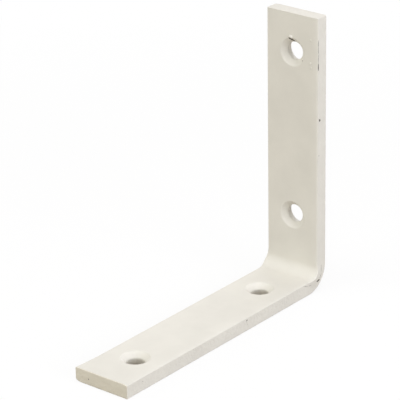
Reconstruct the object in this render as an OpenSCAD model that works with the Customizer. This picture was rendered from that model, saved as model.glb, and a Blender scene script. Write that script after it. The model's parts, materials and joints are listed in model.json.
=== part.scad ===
// Angle bracket: flat bar bent once to a right angle, with two countersunk screw holes in each leg.
// The base leg lies along +X on the plane Z = 0, and the upright rises along +Z at the -X end.
// The two outer faces are the ones that meet the timber; the screws go in from the inner faces.

/* [Flat bar] */
// Width of the bar
bar_w = 20; // [16:0.5:30]
// Thickness of the bar
bar_t = 4.8; // [4:0.1:7]
// How far in from the side the shear has rolled over the inner face's edge
inner_roll_reach = 2.4; // [1.4:0.1:3.2]
// How far that edge has dropped at the side
inner_roll_drop = 0.35; // [0.15:0.05:0.8]
// How far in from the other side the shear has rolled over the outer face's edge
outer_roll_reach = 2; // [1.4:0.1:3.2]
// How far that edge has dropped at the side
outer_roll_drop = 0.9; // [0.3:0.05:1.2]

/* [Bend] */
// Length of the base leg, from the back of the upright
base_leg = 101; // [70:0.5:150]
// Height of the upright leg, from the underside of the base
upright_leg = 94.5; // [70:0.5:150]
// Radius of the bend on its inner side
bend_r = 4; // [2:0.25:7]
// How far the squeezed inner side of the bend swells past each side of the bar
swell_h = 0.8; // [0.3:0.05:1.2]
// How far short of the outer face's rolled edge the swelling fades out
swell_fade = 0.5; // [0.2:0.1:1.2]

/* [Screw holes] */
// Diameter of a screw hole
hole_d = 6; // [4.5:0.1:7.5]
// Diameter of a countersink at the inner face
sink_d = 9.4; // [8:0.1:12]
// Included angle of a countersink
sink_angle = 90; // [75:1:120]
// From the end of the base leg to its outer hole
base_margin = 16; // [10:0.5:25]
// From the back of the upright to the base leg's inner hole
base_inset = 22.5; // [18:0.5:35]
// From the top of the upright to its upper hole
upright_margin = 13.2; // [10:0.1:25]
// From the underside of the base to the upright's lower hole
upright_inset = 24.8; // [18:0.1:35]

/* [Hidden] */
$fn = 96;

// The bend turns about one axis, so its outer radius is the inner one plus the bar's thickness.
outer_r = bend_r + bar_t;
// A cut runs this far past the face that it opens.
past = 1;
// The swelling is the cap of a ball that stands proud of the side, in a circle of this radius.
swell_r = bar_t - outer_roll_drop - swell_fade;
swell_ball = (swell_r * swell_r + swell_h * swell_h) / (2 * swell_h);
// The middle of the bend's inner side, where the steel is squeezed most.
swell_at = outer_r - bend_r / sqrt(2);
// A countersink's slope, and its depth down to the screw hole.
sink_slope = tan(sink_angle / 2);
sink_depth = (sink_d - hole_d) / (2 * sink_slope);

// What the shear rolls off one corner, with the corner at the origin and the bar below and left of it.
// The rolled edge is an arc that leaves the face at a tangent and meets the side at its drop.
module rolled_corner(reach, drop) {
    roll_r = (reach * reach + drop * drop) / (2 * drop);
    difference() {
        translate([-reach, -roll_r])
            square([reach + past, roll_r + past]);
        translate([-reach, -roll_r])
            circle(r = roll_r);
    }
}

// Section of the bar: X across its width, Y from the outer face up to the inner one.
// A sheared strip has rolled edges at two opposite corners and sharp ones at the other two.
module bar_section()
    difference() {
        translate([-bar_w / 2, 0])
            square([bar_w, bar_t]);
        translate([bar_w / 2, bar_t])
            rolled_corner(inner_roll_reach, inner_roll_drop);
        translate([-bar_w / 2, 0])
            rotate(180)
                rolled_corner(outer_roll_reach, outer_roll_drop);
    }

// Section of the strip along one side that swells in the bend, clear of the outer face's rolled edge.
module swell_section()
    translate([bar_w / 2 - inner_roll_reach, outer_roll_drop])
        square([inner_roll_reach + swell_h, bar_t - outer_roll_drop]);

// A straight run of a section, from the end of the bend out along +X.
module straight_run(leg)
    translate([outer_r, 0, 0])
        rotate([90, 0, 90])
            linear_extrude(leg - outer_r)
                children();

// The quarter turn of a section between the two straight runs.
module quarter_turn()
    translate([outer_r, 0, outer_r])
        rotate([-90, 0, 0])
            rotate([0, 0, 90])
                rotate_extrude(angle = 90)
                    translate([outer_r, 0])
                        rotate(90)
                            children();

// Turns what is drawn for the base leg into its counterpart on the upright.
module on_upright()
    mirror([1, 0, -1])
        children();

// A section taken along the base, round the bend and up the upright, with the heel at the origin.
module bent(base, upright) {
    straight_run(base)
        children();
    quarter_turn()
        children();
    on_upright()
        straight_run(upright)
            children();
}

// Steel that bending has squeezed out of both sides at the inner face.
module bend_swelling()
    for (side = [0, 1])
        mirror([0, side, 0])
            intersection() {
                bent(base_inset, upright_inset)
                    swell_section();
                translate([swell_at, bar_w / 2 + swell_h - swell_ball, swell_at])
                    sphere(r = swell_ball);
            }

// A countersunk screw hole through the base leg, at a distance from the heel.
module screw_hole(at)
    translate([at, 0, 0]) {
        translate([0, 0, -past])
            cylinder(d = hole_d, h = bar_t + 2 * past);
        translate([0, 0, bar_t - sink_depth])
            cylinder(d1 = hole_d, d2 = sink_d + 2 * past * sink_slope, h = sink_depth + past);
    }

module angle_bracket()
    color("#E6E1D4")
        translate([-base_leg / 2, 0, 0])
            difference() {
                union() {
                    bent(base_leg, upright_leg)
                        bar_section();
                    bend_swelling();
                }
                for (at = [base_inset, base_leg - base_margin])
                    screw_hole(at);
                on_upright()
                    for (at = [upright_inset, upright_leg - upright_margin])
                        screw_hole(at);
            }

angle_bracket();
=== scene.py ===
# %% [markdown]
# # A painted angle bracket
# The real thing is one length of flat steel bar, sheared off a strip, punched and countersunk, bent
# once to a right angle and dipped in cream enamel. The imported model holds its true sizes, so the first
# step loads it. The bar that is modelled below goes where that frame says, in metres.

# %% Load the frame
import json
import math
import random

import bmesh
import bpy
from mathutils import Matrix, Vector


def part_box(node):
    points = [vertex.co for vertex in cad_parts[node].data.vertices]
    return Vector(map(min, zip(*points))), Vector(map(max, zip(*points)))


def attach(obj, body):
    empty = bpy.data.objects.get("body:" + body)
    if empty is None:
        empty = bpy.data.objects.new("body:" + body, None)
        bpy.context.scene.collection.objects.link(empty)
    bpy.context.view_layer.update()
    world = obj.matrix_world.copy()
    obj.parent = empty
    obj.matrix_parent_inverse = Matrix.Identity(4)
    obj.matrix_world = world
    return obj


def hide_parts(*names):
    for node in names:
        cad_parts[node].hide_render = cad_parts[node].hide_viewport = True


MM = 0.001
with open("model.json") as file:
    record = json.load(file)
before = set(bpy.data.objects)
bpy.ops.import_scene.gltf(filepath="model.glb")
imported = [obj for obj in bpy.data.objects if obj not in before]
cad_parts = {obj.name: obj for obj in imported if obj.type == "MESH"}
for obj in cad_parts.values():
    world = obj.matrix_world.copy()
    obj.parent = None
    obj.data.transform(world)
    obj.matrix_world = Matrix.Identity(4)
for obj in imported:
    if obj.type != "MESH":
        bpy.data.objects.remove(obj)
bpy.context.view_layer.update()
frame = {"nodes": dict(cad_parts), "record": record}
low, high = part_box("angle_bracket")
print("frame nodes", sorted(frame["nodes"]), "box in mm", [round(side / MM, 2) for side in high - low])

# %% [markdown]
# ## Sizes that the frame gives
# The mounts in the record say where the screw holes are and how wide, and the end of the base leg shows
# how wide and thick the bar is. Two sizes that the record doesn't hold are written here: the radius of the
# bend on its inner side, and the radius of a countersink.

# %% Read the sizes
TINY = 0.002 * MM
mounts = {mount["name"]: mount for mount in frame["record"]["mounts"]}
bend_inner = 4.0 * MM
sink_radius = 4.7 * MM

free_end = [v.co for v in frame["nodes"]["angle_bracket"].data.vertices if v.co.x > high.x - TINY]
bar_t = max(co.z for co in free_end)
bar_w = max(co.y for co in free_end) - min(co.y for co in free_end)
bend_outer = bend_inner + bar_t
bend_axis = Vector((low.x + bend_outer, 0, bend_outer))
hole_radius = mounts["base_screws"]["dims"]["hole_r_mm"] * MM

base_mid = mounts["base_screws"]["pos_m"][0]
base_half_pitch = mounts["base_screws"]["dims"]["spacing_x_mm"] * MM / 2
upright_mid = mounts["upright_screws"]["pos_m"][2]
upright_half_pitch = mounts["upright_screws"]["dims"]["spacing_y_mm"] * MM / 2
print("bar", round(bar_w / MM, 2), "x", round(bar_t / MM, 2), "mm,",
      "holes", round(2 * hole_radius / MM, 2), "mm")

# %% [markdown]
# ## The camera
# A long lens, as for a catalogue picture, looks down on the bracket past its free end. The camera sits
# on a line that leaves the heel at an azimuth and an elevation, and its aim is moved sideways and up in
# the picture until the whole bracket is framed. Its three axes are worked out first, and then its place.

# %% Place the camera
view_azimuth = math.radians(129.28)
view_elevation = math.radians(23.15)
view_roll = math.radians(-0.95)
view_distance = 814.8 * MM
aim_right = -33.64 * MM
aim_up = 26.10 * MM
lens_mm = 220.1
sensor_mm = 36.0
nearest_seen = 10 * MM
furthest_seen = 20.0

back = Vector((
    math.sin(view_azimuth) * math.cos(view_elevation),
    -math.cos(view_azimuth) * math.cos(view_elevation),
    math.sin(view_elevation),
))
level_right = Vector((0, 0, 1)).cross(back).normalized()
level_up = back.cross(level_right)
right = level_right * math.cos(view_roll) + level_up * math.sin(view_roll)
up = level_up * math.cos(view_roll) - level_right * math.sin(view_roll)

heel = Vector((low.x, 0, 0))
camera_place = heel + right * aim_right + up * aim_up + back * view_distance
bpy.ops.object.camera_add(location=camera_place)
camera = bpy.context.object
camera.name = "catalogue_camera"
camera.rotation_euler = Matrix((right, up, back)).transposed().to_euler()
camera.data.sensor_width = sensor_mm
camera.data.lens = lens_mm
camera.data.clip_start = nearest_seen
camera.data.clip_end = furthest_seen
bpy.context.scene.camera = camera
print("camera at", [round(c / MM) for c in camera_place], "mm, lens", lens_mm, "mm")

# %% [markdown]
# ## Helpers for working by hand in code
# An operator acts on whatever is selected, so each step first says what it works on. One helper leaves a
# single object selected, one selects vertices, edges or faces by a rule on their place or normal, and one
# adds a modifier and applies it.

# %% Helpers
def work_on(piece):
    """Leaves one object selected and active."""
    bpy.ops.object.select_all(action="DESELECT")
    piece.select_set(True)
    bpy.context.view_layer.objects.active = piece


def pick(kind, rule):
    """In edit mode, selects the vertices, edges or faces that a rule accepts, and says how many."""
    bpy.ops.mesh.select_mode(type=kind)
    bpy.ops.mesh.select_all(action="DESELECT")
    shape = bmesh.from_edit_mesh(bpy.context.object.data)
    elements = {"VERT": shape.verts, "EDGE": shape.edges, "FACE": shape.faces}[kind]
    chosen = [element for element in elements if rule(element)]
    for element in chosen:
        element.select_set(True)
    shape.select_flush_mode()
    bmesh.update_edit_mesh(bpy.context.object.data)
    return len(chosen)


def apply_modifier(piece, kind, **settings):
    """Adds a modifier to a piece, sets it up and applies it."""
    work_on(piece)
    modifier = piece.modifiers.new(kind.lower(), kind)
    for name, value in settings.items():
        setattr(modifier, name, value)
    bpy.ops.object.modifier_apply(modifier=modifier.name)


# %% [markdown]
# ## The bar's section
# A strip that is sheared has two soft corners, where the blade dragged the steel over, and two sharp
# ones, which only the paint rounds. A corner that rolls much further across than down is a quarter of an
# ellipse. Bevel only makes round corners, so the section is first stretched until that corner would be
# round, then bevelled, and then let back to its real height.

# %% Draw the section at the free end of the base leg
inner_roll = (2.4 * MM, 0.35 * MM)
outer_roll = (2.0 * MM, 0.9 * MM)
paint_round = (0.28 * MM, 0.28 * MM)
corner_steps = 6
shortest_side = 1.0 * MM
side_cuts = 7


def stretch(y, z, middle):
    """Stretches what is selected across the bar and through it, about a point."""
    bpy.ops.transform.resize(value=(1, y, z), center_override=middle)


section_mid = Vector((high.x, 0, bar_t / 2))
bpy.ops.object.select_all(action="DESELECT")
bpy.ops.mesh.primitive_plane_add(size=1, location=section_mid, rotation=(0, math.pi / 2, 0))
bar = bpy.context.object
bar.name = "angle_bracket_painted"
bpy.ops.object.transform_apply(location=True, rotation=True, scale=True)
bpy.ops.object.mode_set(mode="EDIT")
bpy.ops.mesh.select_all(action="SELECT")
stretch(bar_w, bar_t, section_mid)


def round_corner(side, face, reach, drop):
    """Rounds one corner of the section: reach goes across the bar, drop goes through it."""
    taller = reach / drop
    bpy.ops.mesh.select_all(action="SELECT")
    stretch(1, taller, section_mid)
    corner = section_mid + Vector((0, side * bar_w / 2, face * taller * bar_t / 2))
    pick("VERT", lambda vert: (vert.co - corner).length < TINY)
    bpy.ops.mesh.bevel(offset=reach, segments=corner_steps, affect="VERTICES")
    bpy.ops.mesh.select_all(action="SELECT")
    stretch(1, 1 / taller, section_mid)


round_corner(+1, +1, *inner_roll)
round_corner(-1, -1, *outer_roll)
round_corner(+1, -1, *paint_round)
round_corner(-1, +1, *paint_round)
straight_sides = pick("EDGE", lambda edge: edge.calc_length() > shortest_side
                      and all(abs(v.co.y) > bar_w / 2 - TINY for v in edge.verts))
bpy.ops.mesh.subdivide(number_cuts=side_cuts)
bpy.ops.object.mode_set(mode="OBJECT")
print("section with", len(bar.data.vertices), "points and", straight_sides, "straight sides")

# %% [markdown]
# ## Straight run, bend, straight run
# The section is extruded from the free end to the bend, spun a quarter turn about the bend's axis, and
# extruded up the upright, as a bar passes through a bending tool. The runs next to the bend get closer
# steps, because the steel there is about to be swollen, and so does the sheared end. The first section
# from the free end lies just past the reach of the bevel that will soften the end's rim.

# %% Extrude and spin the bar
end_round = 0.2 * MM
rim_run = 1.1 * end_round
end_zone = 0.76 * MM
end_steps = 6
swell_zone = 7.0 * MM
swell_steps = 9
run_step = 6.0 * MM
bend_steps = 28
merge_distance = 0.001 * MM
to_heel = Vector((-1, 0, 0))
to_top = Vector((0, 0, 1))


def run(direction, length, steps):
    """Extrudes the selected end of the bar along a direction, in equal steps."""
    for _ in range(steps):
        bpy.ops.mesh.extrude_region_move(TRANSFORM_OT_translate={"value": direction * (length / steps)})


base_plain = high.x - end_zone - swell_zone - bend_axis.x
upright_plain = high.z - swell_zone - bend_axis.z
work_on(bar)
bpy.ops.object.mode_set(mode="EDIT")
pick("FACE", lambda face: True)
run(to_heel, rim_run, 1)
run(to_heel, end_zone - rim_run, end_steps)
run(to_heel, base_plain, round(base_plain / run_step))
run(to_heel, swell_zone, swell_steps)
bpy.ops.mesh.spin(steps=bend_steps, angle=-math.pi / 2, center=bend_axis, axis=(0, 1, 0))
run(to_top, swell_zone, swell_steps)
run(to_top, upright_plain, round(upright_plain / run_step))
bpy.ops.mesh.select_all(action="SELECT")
bpy.ops.mesh.remove_doubles(threshold=merge_distance)
bpy.ops.mesh.normals_make_consistent(inside=False)
bpy.ops.object.mode_set(mode="OBJECT")
bpy.context.view_layer.update()
print("bent bar", [round(side / MM, 2) for side in bar.dimensions], "mm,", len(bar.data.polygons), "faces")

# %% [markdown]
# ## Softening both ends
# Paint can't keep a knife edge. The rim of each end face is bevelled a little less than the long edges
# are rounded, so the bevels meet without crossing.

# %% Bevel the rims of the two ends
end_round_steps = 3
square_on = 0.999


def closes_the_bar(face):
    """Tells whether a face is the end of the base or the top of the upright."""
    middle = face.calc_center_median()
    at_free_end = face.normal.x > square_on and middle.x > high.x - TINY
    at_top = face.normal.z > square_on and middle.z > high.z - TINY
    return at_free_end or at_top


work_on(bar)
bpy.ops.object.mode_set(mode="EDIT")
ends = pick("FACE", closes_the_bar)
bpy.ops.mesh.region_to_loop()
bpy.ops.mesh.bevel(offset=end_round, segments=end_round_steps, affect="EDGES")
bpy.ops.object.mode_set(mode="OBJECT")
print("ends softened:", ends)

# %% [markdown]
# ## The sheared end
# The blade that cut the free end came from below and finished at the far side. It dragged the bottom edge
# of the end round, further up the end than along the bar, and it pushed the far side out a little over the
# last centimetre. The points near the end are moved one by one: up along a quarter of an ellipse at the
# bottom, and outwards at the far side with a falloff.

# %% Drag the bottom edge and spread the far side
drag_depth = 0.5 * MM
bottom_drag = 0.35 * MM
bottom_reach = 2.4 * MM
far_spread = 0.65 * MM
spread_length = 12.0 * MM
spread_reach = 4.0 * MM

moved = 0
for vert in bar.data.vertices:
    from_end = max(0.0, high.x - vert.co.x)
    from_side = vert.co.y + bar_w / 2
    if from_end < spread_length and from_side < spread_reach:
        spread = far_spread * (1 - from_end / spread_length) ** 2
        vert.co.y -= spread * (1 - from_side / spread_reach)
        moved += 1
    if from_end < drag_depth:
        drag = 1 - math.sqrt(1 - (1 - from_end / drag_depth) ** 2)
        vert.co.z += bottom_drag * drag * max(0.0, 1 - vert.co.z / bottom_reach)
print("points pushed out at the far side:", moved)

# %% [markdown]
# ## Steel squeezed out of the bend
# Bending crowds the steel on the inner side, and it can only escape sideways, so both sides of a real
# bend bulge at the inner edge. It is a smooth swelling that fades out within a few millimetres, which a
# move with a falloff makes, and here the falloff is written out.

# %% Swell the bend
bend_swell = 0.8 * MM
swell_reach = 4.7 * MM
swell_depth = 2.6 * MM
swell_from_axis = bend_inner / math.sqrt(2)
swell_mid = bend_axis - Vector((swell_from_axis, 0, swell_from_axis))


def smooth_step(share):
    """Goes from 0 to 1 with no kink at either end."""
    share = min(1.0, max(0.0, share))
    return share * share * (3 - 2 * share)


for vert in bar.data.vertices:
    away = math.hypot(vert.co.x - swell_mid.x, vert.co.z - swell_mid.z)
    from_side = bar_w / 2 - abs(vert.co.y)
    if away < swell_reach and from_side < swell_depth:
        swell = bend_swell * smooth_step(1 - away / swell_reach) * smooth_step(1 - from_side / swell_depth)
        vert.co.y += math.copysign(swell, vert.co.y)
bulge = max(abs(v.co.y) for v in bar.data.vertices) - bar_w / 2
print("bend swells", round(bulge / MM, 2), "mm past each side")

# %% [markdown]
# ## Countersunk screw holes
# A countersink is a stepped cone, so its cutter is grown from a disc: extrude up the bore, widen to the
# countersink, then widen more gently over the lip, because paint rounds the rim. The punch tore out
# a wider cone at the back of each hole. One cutter is modelled and copied to the four places that the
# mounts give, and a Boolean takes each one out. Points that a cut leaves within a micron of each other are
# merged, so that the next cut starts from a sound mesh.

# %% Model the cutter
cutter_sides = 96
past = 1.0 * MM
lip = 0.12 * MM
breakout = 1.0 * MM
breakout_depth = 2.3 * MM
sink_depth = sink_radius - hole_radius

# Heights above the outer face, each with the cutter's radius there.
profile = [
    (-past, hole_radius + breakout),
    (0, hole_radius + breakout),
    (breakout_depth, hole_radius),
    (bar_t - sink_depth - lip, hole_radius),
    (bar_t - sink_depth + lip, hole_radius + lip),
    (bar_t - 2 * lip, sink_radius - 2 * lip),
    (bar_t - lip / 2, sink_radius),
    (bar_t + lip / 4, sink_radius + 3 * lip),
    (bar_t + past, sink_radius + 4 * lip),
]

bpy.ops.object.select_all(action="DESELECT")
start_height, start_radius = profile[0]
bpy.ops.mesh.primitive_circle_add(vertices=cutter_sides, radius=start_radius, fill_type="NGON",
                                  location=(0, 0, start_height))
cutter = bpy.context.object
bpy.ops.object.transform_apply(location=True, rotation=True, scale=True)
bpy.ops.object.mode_set(mode="EDIT")
pick("FACE", lambda face: True)
for (from_height, from_radius), (to_height, to_radius) in zip(profile, profile[1:]):
    bpy.ops.mesh.extrude_region_move(TRANSFORM_OT_translate={"value": (0, 0, to_height - from_height)})
    wider = to_radius / from_radius
    bpy.ops.transform.resize(value=(wider, wider, 1), center_override=(0, 0, to_height))
bpy.ops.mesh.select_all(action="SELECT")
bpy.ops.mesh.normals_make_consistent(inside=False)
bpy.ops.object.mode_set(mode="OBJECT")
print("cutter in", len(profile), "rings of", cutter_sides, "points")


# %% Cut the four holes
def combine(piece, tool, operation):
    """Takes a tool out of a piece or joins it on, with the tool's own material there, and removes it."""
    apply_modifier(piece, "BOOLEAN", object=tool, operation=operation, solver="EXACT",
                   material_mode="TRANSFER")
    bpy.data.objects.remove(tool)
    bpy.ops.object.mode_set(mode="EDIT")
    bpy.ops.mesh.select_all(action="SELECT")
    bpy.ops.mesh.remove_doubles(threshold=merge_distance)
    bpy.ops.mesh.dissolve_degenerate(threshold=merge_distance)
    bpy.ops.object.mode_set(mode="OBJECT")


stand_up = Matrix.Rotation(math.pi / 2, 4, "Y")
places = []
for side in (-1, 1):
    places.append(Matrix.Translation((base_mid + side * base_half_pitch, 0, 0)))
    places.append(Matrix.Translation((low.x, 0, upright_mid + side * upright_half_pitch)) @ stand_up)
for place in places:
    punch = cutter.copy()
    punch.data = cutter.data.copy()
    bpy.context.collection.objects.link(punch)
    punch.data.transform(place)
    combine(bar, punch, "DIFFERENCE")
bpy.data.objects.remove(cutter)
print("holes cut:", len(places), "- bar now has", len(bar.data.polygons), "faces")

# %% [markdown]
# ## Colours and nodes
# Colours are written as sRGB hex values, as a paint chart gives them, and turned to the linear values
# that the shader works in. One helper adds a node with its settings and its links.

# %% Helpers for materials
def linear(hex_colour):
    """Turns an sRGB hex colour into the linear RGBA that a shader takes."""
    channels = [int(hex_colour[i:i + 2], 16) / 255 for i in (1, 3, 5)]
    return [c / 12.92 if c <= 0.04045 else ((c + 0.055) / 1.055) ** 2.4 for c in channels] + [1.0]


def add_node(tree, kind, settings=None, **sockets):
    """Adds a node with its own settings. A socket, by name or as i0, i1, takes a value or an output."""
    node = tree.nodes.new(kind)
    for name, value in (settings or {}).items():
        setattr(node, name, value)
    for name, value in sockets.items():
        socket = node.inputs[int(name[1:])] if name[0] == "i" and name[1:].isdigit() else node.inputs[name]
        if isinstance(value, bpy.types.NodeSocket):
            tree.links.new(value, socket)
        else:
            socket.default_value = value
    return node


def new_material(name):
    """Makes an empty node material and gives it, with its node tree."""
    material = bpy.data.materials.new(name)
    material.use_nodes = True
    material.node_tree.nodes.clear()
    return material, material.node_tree


def waves_per_metre(size_mm):
    """Gives the scale of a texture whose features are this big."""
    return 1 / (size_mm * MM)


print("pure white as a shader takes it:", linear("#FFFFFF"))

# %% [markdown]
# ## Cream enamel
# The finish is a satin enamel, dipped and stoved. It hides the steel completely, so it is no metal to the
# eye: an off-white with a soft wide gloss. It lies a little thicker and thinner in drifts about a
# centimetre long, which shifts its tone very slightly, and its skin has the shallow orange peel of stoved
# paint, about a millimetre across. The sides and ends were torn by the shear, so the paint there follows a
# rougher face. The free end is given a slightly darker, yellower colour: partly thin paint over the torn
# steel, partly painted shade on the end face.

# %% Mix the enamel's colour
drift_mm = 11
faces_sideways = 0.9
end_sliver = 0.3 * MM

enamel, tree = new_material("cream_stoved_enamel")
surface = add_node(tree, "ShaderNodeTexCoord")
on_bar = surface.outputs["Object"]
drift = add_node(tree, "ShaderNodeTexNoise", Vector=on_bar, Scale=waves_per_metre(drift_mm), Detail=3.0,
                 Roughness=0.55)
tone = add_node(tree, "ShaderNodeValToRGB", Fac=drift.outputs["Fac"])
tone.color_ramp.elements[0].position = 0.32
tone.color_ramp.elements[0].color = linear("#E2DFD6")
tone.color_ramp.elements[1].position = 0.68
tone.color_ramp.elements[1].color = linear("#E8E5DC")

# Where the shear cut: the two sides, by the way that they face, and the last sliver before each end.
facing = add_node(tree, "ShaderNodeSeparateXYZ", Vector=surface.outputs["Normal"])
sideways = add_node(tree, "ShaderNodeMath", {"operation": "ABSOLUTE"}, i0=facing.outputs["Y"])
cut_side = add_node(tree, "ShaderNodeMath", {"operation": "GREATER_THAN"}, i0=sideways.outputs[0],
                    i1=faces_sideways)
where = add_node(tree, "ShaderNodeSeparateXYZ", Vector=on_bar)
free_tip = add_node(tree, "ShaderNodeMath", {"operation": "GREATER_THAN"}, i0=where.outputs["X"],
                    i1=high.x - end_sliver)
top_tip = add_node(tree, "ShaderNodeMath", {"operation": "GREATER_THAN"}, i0=where.outputs["Z"],
                   i1=high.z - end_sliver)
cut_end = add_node(tree, "ShaderNodeMath", {"operation": "MAXIMUM"}, i0=free_tip.outputs[0],
                   i1=top_tip.outputs[0])
torn = add_node(tree, "ShaderNodeMath", {"operation": "MAXIMUM"}, i0=cut_side.outputs[0],
                i1=cut_end.outputs[0])
# Painted shade: the free end's colour is multiplied by a pale yellow, partly for thin paint there and
# partly to darken the end face as shade would.
paint_colour_with_end_shade = add_node(tree, "ShaderNodeMixRGB", {"blend_type": "MULTIPLY"}, Fac=free_tip.outputs[0],
                Color1=tone.outputs["Color"], Color2=linear("#FEFBF4"))
print("colour mixed for", enamel.name, "in", len(tree.nodes), "nodes")

# %% Give the enamel its skin and paint the bar
peel_mm = 1.1
peel_height = 0.03 * MM
tear_mm = 1.7
tear_height = 0.3 * MM

peel = add_node(tree, "ShaderNodeTexNoise", Vector=on_bar, Scale=waves_per_metre(peel_mm), Detail=2.0,
                Roughness=0.5)
skin = add_node(tree, "ShaderNodeBump", Height=peel.outputs["Fac"], Strength=0.25, Distance=peel_height)
tear = add_node(tree, "ShaderNodeTexNoise", Vector=on_bar, Scale=waves_per_metre(tear_mm), Detail=3.0,
                Roughness=0.6)
ripple = add_node(tree, "ShaderNodeMath", {"operation": "MULTIPLY"}, i0=torn.outputs[0],
                  i1=tear.outputs["Fac"])
torn_skin = add_node(tree, "ShaderNodeBump", Height=ripple.outputs[0], Strength=0.9, Distance=tear_height,
                     Normal=skin.outputs["Normal"])
gloss = add_node(tree, "ShaderNodeMapRange", Value=drift.outputs["Fac"])
gloss.inputs["To Min"].default_value = 0.50
gloss.inputs["To Max"].default_value = 0.62
paint = add_node(tree, "ShaderNodeBsdfPrincipled", Roughness=gloss.outputs["Result"], IOR=1.5,
                 Normal=torn_skin.outputs["Normal"])
tree.links.new(paint_colour_with_end_shade.outputs["Color"], paint.inputs["Base Color"])
add_node(tree, "ShaderNodeOutputMaterial", Surface=paint.outputs["BSDF"])
bar.data.materials.clear()
bar.data.materials.append(enamel)
print("bar painted with", enamel.name)

# %% [markdown]
# ## Bare steel under the chips
# Where the paint is knocked off, hot-rolled mild steel shows. Its scale is nearly black, dull and only
# half metallic to the eye. The same dark steel also lines two grooves as painted shade: one up the crease
# at the bend and one under the crumb on the top hole.

# %% Make the bare steel
grain_mm = 0.4
steel, tree = new_material("bare_steel_and_painted_shade")
surface = add_node(tree, "ShaderNodeTexCoord")
grain = add_node(tree, "ShaderNodeTexNoise", Vector=surface.outputs["Object"],
                 Scale=waves_per_metre(grain_mm), Detail=2.0)
scale_tone = add_node(tree, "ShaderNodeValToRGB", Fac=grain.outputs["Fac"])
scale_tone.color_ramp.elements[0].color = linear("#3A3733")
scale_tone.color_ramp.elements[1].color = linear("#6B655C")
metal = add_node(tree, "ShaderNodeBsdfPrincipled", Metallic=0.5, Roughness=0.6)
tree.links.new(scale_tone.outputs["Color"], metal.inputs["Base Color"])
add_node(tree, "ShaderNodeOutputMaterial", Surface=metal.outputs["BSDF"])
print("material for chips:", steel.name)

# %% [markdown]
# ## Knocks and scratches
# The bracket has been handled. Paint has flaked off along one inner edge of the upright, at the bend and in
# a few spots, a knock on the near side ends in a scrape, and a crumb of paint stands on the rim of the top
# hole. Each mark is an uneven lens that is sunk in the surface, or joined on for the crumb and for paint
# that has lifted. Its two ends are written in millimetres from the heel, along the base, across and up, and
# it goes to the surface nearest to them.

# %% A tool for making marks
dice = random.Random(5)
ragged = 0.16
near_side = bar_w / MM / 2
inner_face = bar_t / MM
end_face = (high.x - low.x) / MM


def mark(start, end, width, depth, material, operation="DIFFERENCE"):
    """Makes one mark on the bar between two points, with its width and depth in millimetres."""
    start, end = [heel + Vector(point) * MM for point in (start, end)]
    _, place, out, _ = bar.closest_point_on_mesh((start + end) / 2)
    along = end - start
    along -= out * along.dot(out)
    across = out.cross(along).normalized()
    bpy.ops.object.select_all(action="DESELECT")
    bpy.ops.mesh.primitive_ico_sphere_add(subdivisions=2, radius=1)
    lens = bpy.context.object
    for vert in lens.data.vertices:
        vert.co *= dice.uniform(1 - ragged, 1 + ragged)
    axes = Matrix((along / 2, across * width * MM / 2, out * depth * MM)).transposed().to_4x4()
    lens.data.transform(Matrix.Translation(place) @ axes)
    lens.data.materials.append(material)
    combine(bar, lens, operation)


def mark_near_side(start, end, width, depth, material):
    """Makes one mark on the near side, between two points along the base and up."""
    (start_along, start_up), (end_along, end_up) = start, end
    mark((start_along, near_side, start_up), (end_along, near_side, end_up), width, depth, material)


print("near side", near_side, "mm across, inner face", round(inner_face, 2), "mm up")

# %% Flake the upright's inner edge
# One wide flake comes first, then thinner ones above it.
flaked_edge = inner_face - 0.5
for bottom, top, width in ((76.7, 79.5, 0.36), (79.3, 82.6, 0.15), (82.3, 85.2, 0.13), (84.9, 87.2, 0.17)):
    mark_near_side((flaked_edge, bottom), (flaked_edge, top), width, depth=0.22, material=steel)

# Beside the flakes the paint has lifted without coming off.
lean = 0.2
for across, bottom, top in ((7.3, 76.9, 77.9), (7.1, 78.4, 79.4), (7.2, 86.4, 87.1)):
    mark((inner_face, across, bottom), (inner_face, across + lean, top), width=0.6, depth=0.2,
         material=enamel, operation="UNION")
print("bar with flakes has", len(bar.data.polygons), "faces")

# %% Chip a few spots
# They are on the near side of the upright and of the base, and one is on the sheared end.
spot_depth = 0.15
spot_squeeze = 0.9
spots = [(3.5, near_side, 59.9, 0.9), (3.9, near_side, 47.7, 0.3), (93.5, near_side, 3.1, 0.24),
         (end_face, -5.3, 2.2, 0.42)]
for along_base, across, up_from_base, size in spots:
    half = Vector((0, 0, size / 2))
    spot = Vector((along_base, across, up_from_base))
    mark(spot - half, spot + half, size * spot_squeeze, spot_depth, steel)
print("spots chipped:", len(spots))

# %% Mark the near side and the top hole
# The chip at the bend, a fine groove up the crease that runs from it, lined with dark steel as painted
# shade, and a short curved scratch beside it.
mark_near_side((5.4, 3.75), (3.3, 3.75), width=0.75, depth=0.28, material=steel)
# Painted shade: these two grooves take the dark steel so that the crease where the swelling meets the side
# reads dark.
mark_near_side((3.5, 3.9), (2.5, 5.7), width=0.16, depth=0.15, material=steel)
mark_near_side((2.6, 5.3), (2.3, 9.0), width=0.1, depth=0.12, material=steel)
mark_near_side((12.2, 4.3), (9.6, 3.55), width=0.08, depth=0.1, material=steel)
mark_near_side((9.5, 3.5), (7.8, 3.25), width=0.07, depth=0.08, material=steel)

# The knock on the base's near edge, with its scrape down the side.
mark_near_side((41.8, 3.8), (42.5, 3.6), width=0.34, depth=0.16, material=steel)
mark_near_side((42.3, 3.3), (41.4, 0.7), width=0.3, depth=0.1, material=enamel)

# The crumb of paint on the rim of the top hole, a groove under it lined with dark steel as the crumb's
# painted shadow, and a spot in the countersink.
mark((inner_face, -1.3, 86.75), (inner_face, 0.2, 86.2), width=0.85, depth=0.5, material=enamel,
     operation="UNION")
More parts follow.
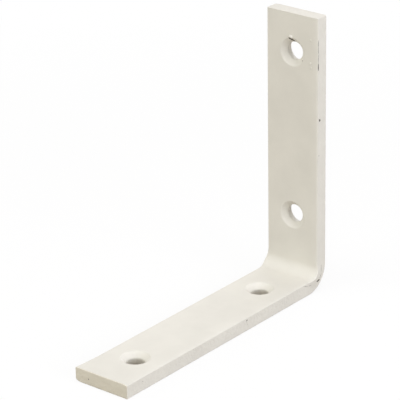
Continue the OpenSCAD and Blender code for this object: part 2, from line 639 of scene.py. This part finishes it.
# Painted shadow: the dark steel in this groove stands for the shade that the crumb casts on the rim.
mark((inner_face, -1.4, 86.0), (inner_face - 1.4, 0.2, 84.6), width=1.1, depth=0.5, material=steel)
mark((inner_face, 3.8, 79.0), (inner_face, 3.9, 79.4), width=0.4, depth=0.15, material=steel)
print("marks made; bar now has", len(bar.data.polygons), "faces and", len(bar.data.materials), "materials")

# %% [markdown]
# ## Floor
# The bracket stands on white paper that runs far past the picture. The camera sees the paper as nearly
# plain white, with a small share of its real shading left in near the bracket, so that the bracket keeps a
# soft shadow. Further out that share fades away, so no horizon shows. The light that the paper throws back
# at the bracket is warm and a good deal weaker, as off a paper that fills only part of a room. The paper
# lies a hair below the bracket, so that their faces never meet.

# %% Make the paper
plain_share = 0.88
shadow_reach = 0.16


def seen_directly(tree):
    """Gives 1 for rays that see a backdrop from the camera, in a reflection or through glass, else 0."""
    path = add_node(tree, "ShaderNodeLightPath")
    mirrored = add_node(tree, "ShaderNodeMath", {"operation": "MAXIMUM"}, i0=path.outputs["Is Camera Ray"],
                        i1=path.outputs["Is Glossy Ray"])
    either = add_node(tree, "ShaderNodeMath", {"operation": "MAXIMUM"}, i0=mirrored.outputs[0],
                      i1=path.outputs["Is Transmission Ray"])
    return either.outputs[0]


paper, tree = new_material("white_sweep_paper")
seen = seen_directly(tree)
colour = add_node(tree, "ShaderNodeMixRGB", Fac=seen, Color1=linear("#A89F92"),
                  Color2=linear("#FDFDFD"))
sheet = add_node(tree, "ShaderNodeBsdfDiffuse", Color=colour.outputs["Color"])
white = add_node(tree, "ShaderNodeEmission", Color=(1, 1, 1, 1), Strength=1.0)
surface = add_node(tree, "ShaderNodeTexCoord")
away = add_node(tree, "ShaderNodeVectorMath", {"operation": "LENGTH"}, i0=surface.outputs["Object"])
plain = add_node(tree, "ShaderNodeMapRange", Value=away.outputs["Value"])
plain.inputs["From Min"].default_value = shadow_reach
plain.inputs["From Max"].default_value = 2 * shadow_reach
plain.inputs["To Min"].default_value = plain_share
share = add_node(tree, "ShaderNodeMath", {"operation": "MULTIPLY"}, i0=seen, i1=plain.outputs["Result"])
mixed = add_node(tree, "ShaderNodeMixShader", Fac=share.outputs[0], i1=sheet.outputs["BSDF"],
                 i2=white.outputs["Emission"])
add_node(tree, "ShaderNodeOutputMaterial", Surface=mixed.outputs["Shader"])
print(paper.name, "shows its own shading out to", 2 * shadow_reach, "m")

# %% Lay the paper
paper_size = 8
paper_gap = 0.02 * MM
bpy.ops.object.select_all(action="DESELECT")
bpy.ops.mesh.primitive_plane_add(size=paper_size, location=(0, 0, -paper_gap))
floor = bpy.context.object
floor.name = "paper_floor"
bpy.ops.object.transform_apply(location=True, rotation=True, scale=True)
floor.data.materials.append(paper)
print("floor", floor.name, paper_size, "m wide")

# %% [markdown]
# ## Light
# A pale room fills the shade. Five soft lamps shape the light: one overhead makes the faces that look up
# the brightest, a cool one low on the near side lights the edge of the bar, a weak one in front reaches
# down the holes, a warmer one low on the far side lights the upright and the sheared end, and one behind
# keeps the back of the upright from going grey.

# %% Light the room
room_strength = 0.397
world = bpy.data.worlds.new("pale_room")
bpy.context.scene.world = world
world.use_nodes = True
tree = world.node_tree
tree.nodes.clear()
room = add_node(tree, "ShaderNodeBackground", Color=(1.0, 0.987, 0.98, 1), Strength=room_strength)
backdrop = add_node(tree, "ShaderNodeBackground", Color=(1, 1, 1, 1), Strength=1.0)
mixed = add_node(tree, "ShaderNodeMixShader", Fac=seen_directly(tree), i1=room.outputs[0],
                 i2=backdrop.outputs[0])
add_node(tree, "ShaderNodeOutputWorld", Surface=mixed.outputs["Shader"])
bpy.context.scene.view_settings.view_transform = "Standard"
print(world.name, "with a strength of", room_strength)


# %% Place the lamps
def soft_lamp(name, place, size, watts, colour):
    """Adds a square lamp that faces the middle of the bracket."""
    bpy.ops.object.light_add(type="AREA", location=place)
    lamp = bpy.context.object
    lamp.name = name
    lamp.rotation_euler = (Vector(place) - (low + high) / 2).to_track_quat("Z", "Y").to_euler()
    lamp.data.size = size
    lamp.data.energy = watts
    lamp.data.color = colour


soft_lamp("overhead_softbox", (0.00, 0.05, 0.80), 0.5, 1.91, (1.0, 0.963, 0.97))
soft_lamp("near_side_softbox", (0.05, 0.75, 0.25), 0.4, 3.26, (0.902, 0.93, 1.0))
soft_lamp("front_softbox", (0.45, 0.37, 0.50), 0.4, 0.5, (0.995, 1.0, 0.994))
soft_lamp("far_side_softbox", (0.45, -0.34, 0.28), 0.55, 1.54, (0.99, 1.0, 0.917))
soft_lamp("back_softbox", (-0.65, -0.20, 0.18), 0.35, 1.0, (1.0, 0.988, 0.996))

# %% [markdown]
# ## Smooth shading, and the bracket's place in the frame
# Rolled edges and the bend have to look round, while the rims of the chips stay crisp, so shading is smooth
# up to an angle. Weighted normals then keep the broad faces flat beside their narrow bevels. The finished
# bar takes the place of the frame's own node, which is hidden, and rides on its only body.

# %% Finish
crease_angle = math.radians(32)
work_on(bar)
bpy.ops.object.shade_smooth_by_angle(angle=crease_angle)
apply_modifier(bar, "WEIGHTED_NORMAL", keep_sharp=True)
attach(bar, "root")
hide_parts("angle_bracket")
